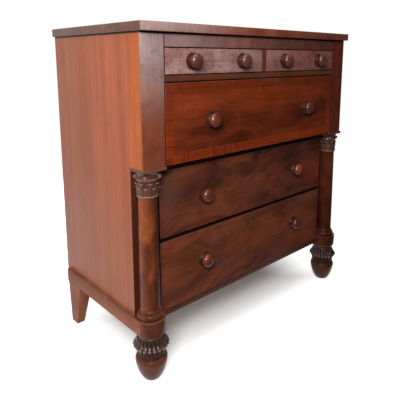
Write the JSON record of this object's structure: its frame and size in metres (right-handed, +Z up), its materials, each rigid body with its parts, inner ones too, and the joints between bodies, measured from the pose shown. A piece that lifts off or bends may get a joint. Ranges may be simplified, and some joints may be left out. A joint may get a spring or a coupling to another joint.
{
  "type": "butler desk",
  "caption": "Column-front wooden butler desk: small drawers over a pull-out desk drawer with a hinged fall and pigeonholes, long drawers below between turned columns.",
  "frame": {"origin": "on the floor under the middle of the desk's outline, knobs and top included", "axes": "+X to the right seen from the front, +Y from the front to the back, +Z up"},
  "size_m": [1.1578, 0.599, 1.18],
  "materials": {
    "case_wood": "satin shellac over reddish brown straight-grained wood",
    "front_veneer": "polished figured veneer",
    "turned_wood": "polished turned wood",
    "carved_wood": "dark carved wood",
    "knob_wood": "glossy turned wood",
    "secondary_wood": "bare planed softwood",
    "gallery_wood": "light satin wood",
    "hinge_brass": "aged brass",
    "lock_metal": "dull iron"
  },
  "bodies": {
    "carcass": {"top_board": "case_wood", "left_side": "case_wood", "right_side": "case_wood", "back_boards": "secondary_wood", "bottom_board": "secondary_wood", "left_post": "front_veneer", "right_post": "front_veneer", "top_rail": "front_veneer", "drawer_rail": "front_veneer", "drawer_divider": "front_veneer", "upper_dust_board": "secondary_wood", "waist_board": "secondary_wood", "lower_dust_board": "secondary_wood", "base_rail": "case_wood", "stiles": "case_wood", "side_plinths": "case_wood", "left_plinth_block": "turned_wood", "right_plinth_block": "turned_wood", "left_column": "turned_wood", "right_column": "turned_wood", "left_capital": "carved_wood", "right_capital": "carved_wood", "left_front_foot": "turned_wood", "right_front_foot": "turned_wood", "left_back_foot": "case_wood", "right_back_foot": "case_wood", "drawer_guides": "secondary_wood"},
    "left_small_drawer": {"left_small_drawer_front": "front_veneer", "left_small_drawer_box": "secondary_wood", "left_small_drawer_bottom": "secondary_wood", "left_small_drawer_knobs": "knob_wood"},
    "right_small_drawer": {"right_small_drawer_front": "front_veneer", "right_small_drawer_box": "secondary_wood", "right_small_drawer_bottom": "secondary_wood", "right_small_drawer_knobs": "knob_wood"},
    "middle_drawer": {"middle_drawer_front": "front_veneer", "middle_drawer_box": "secondary_wood", "middle_drawer_bottom": "secondary_wood", "middle_drawer_knobs": "knob_wood", "middle_drawer_lock": "lock_metal"},
    "middle_drawer_lock_bolt": {"middle_drawer_bolt": "lock_metal"},
    "bottom_drawer": {"bottom_drawer_front": "front_veneer", "bottom_drawer_box": "secondary_wood", "bottom_drawer_bottom": "secondary_wood", "bottom_drawer_knobs": "knob_wood", "bottom_drawer_lock": "lock_metal"},
    "bottom_drawer_lock_bolt": {"bottom_drawer_bolt": "lock_metal"},
    "desk_drawer": {"desk_drawer_box": "secondary_wood", "desk_floor": "case_wood", "desk_gallery": "gallery_wood", "fall_hinges": "hinge_brass"},
    "fall": {"fall_front": "front_veneer", "fall_knobs": "knob_wood", "fall_stays": "hinge_brass", "fall_lock": "lock_metal"},
    "fall_lock_bolt": {"fall_bolt": "lock_metal"},
    "inner_drawer_body_1": {"inner_drawer_1": "gallery_wood"},
    "inner_drawer_body_2": {"inner_drawer_2": "gallery_wood"},
    "inner_drawer_body_3": {"inner_drawer_3": "gallery_wood"},
    "inner_drawer_body_4": {"inner_drawer_4": "gallery_wood"}
  },
  "joints": [
    {"name": "left_small_drawer_slide", "type": "slide", "parent": "carcass", "child": "left_small_drawer", "axis": [0, -1, 0], "range_m": [0, 0.36]},
    {"name": "right_small_drawer_slide", "type": "slide", "parent": "carcass", "child": "right_small_drawer", "axis": [0, -1, 0], "range_m": [0, 0.36]},
    {"name": "desk_drawer_slide", "type": "slide", "parent": "carcass", "child": "desk_drawer", "axis": [0, -1, 0], "range_m": [0, 0.26]},
    {"name": "fall_hinge", "type": "hinge", "parent": "desk_drawer", "child": "fall", "pos_m": [0, -0.2415, 0.7372], "axis": [1, 0, 0], "range_deg": [0, 90]},
    {"name": "fall_bolt_slide", "type": "slide", "parent": "fall", "child": "fall_lock_bolt", "axis": [0, 0, 1], "range_m": [0, 0.008]},
    {"name": "middle_drawer_slide", "type": "slide", "parent": "carcass", "child": "middle_drawer", "axis": [0, -1, 0], "range_m": [0, 0.34]},
    {"name": "middle_bolt_slide", "type": "slide", "parent": "middle_drawer", "child": "middle_drawer_lock_bolt", "axis": [0, 0, 1], "range_m": [0, 0.008]},
    {"name": "bottom_drawer_slide", "type": "slide", "parent": "carcass", "child": "bottom_drawer", "axis": [0, -1, 0], "range_m": [0, 0.34]},
    {"name": "bottom_bolt_slide", "type": "slide", "parent": "bottom_drawer", "child": "bottom_drawer_lock_bolt", "axis": [0, 0, 1], "range_m": [0, 0.008]},
    {"name": "inner_drawer_1_slide", "type": "slide", "parent": "desk_drawer", "child": "inner_drawer_body_1", "axis": [0, -1, 0], "range_m": [0, 0.14]},
    {"name": "inner_drawer_2_slide", "type": "slide", "parent": "desk_drawer", "child": "inner_drawer_body_2", "axis": [0, -1, 0], "range_m": [0, 0.14]},
    {"name": "inner_drawer_3_slide", "type": "slide", "parent": "desk_drawer", "child": "inner_drawer_body_3", "axis": [0, -1, 0], "range_m": [0, 0.14]},
    {"name": "inner_drawer_4_slide", "type": "slide", "parent": "desk_drawer", "child": "inner_drawer_body_4", "axis": [0, -1, 0], "range_m": [0, 0.14]}
  ]
}
